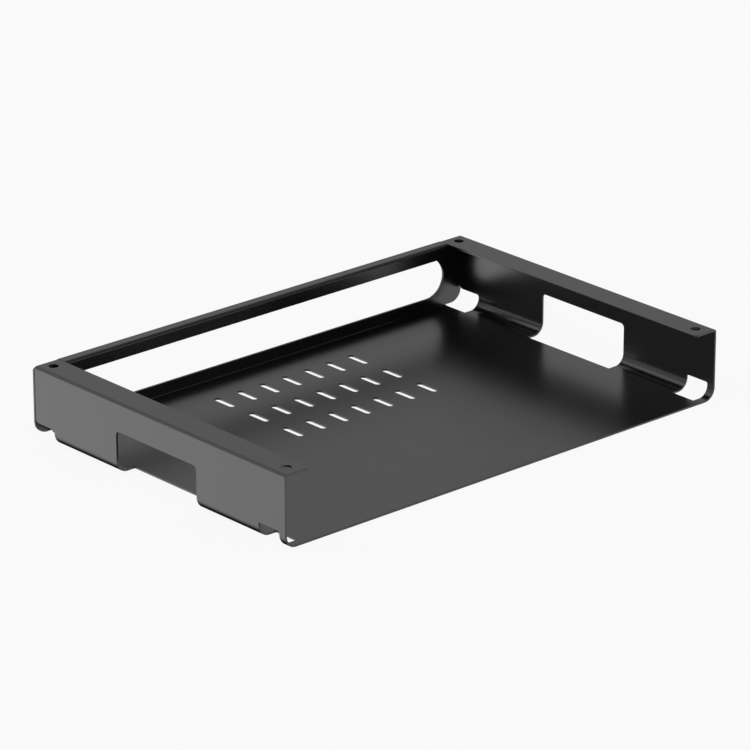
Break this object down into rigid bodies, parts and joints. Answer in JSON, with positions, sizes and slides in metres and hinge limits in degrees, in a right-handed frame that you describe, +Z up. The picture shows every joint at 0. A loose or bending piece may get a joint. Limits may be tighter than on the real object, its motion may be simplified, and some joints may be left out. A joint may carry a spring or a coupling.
{
  "type": "under-desk shelf",
  "caption": "Shallow black sheet-steel tray that screws up under a desk top and holds a laptop, with cable openings in its back and sides and vent slots in its floor.",
  "frame": {"origin": "middle of the base, on the underside of the floor", "axes": "+X along the width to the right as seen from the open front, +Y to the back panel, +Z up to the desk top"},
  "size_m": [0.4, 0.2644, 0.053],
  "materials": {
    "black_powder_coat": "satin"
  },
  "bodies": {
    "root": {"pan": "black_powder_coat", "back_panel": "black_powder_coat", "floor_seam_weld": "black_powder_coat", "left_corner_weld": "black_powder_coat", "right_corner_weld": "black_powder_coat"}
  },
  "joints": []
}
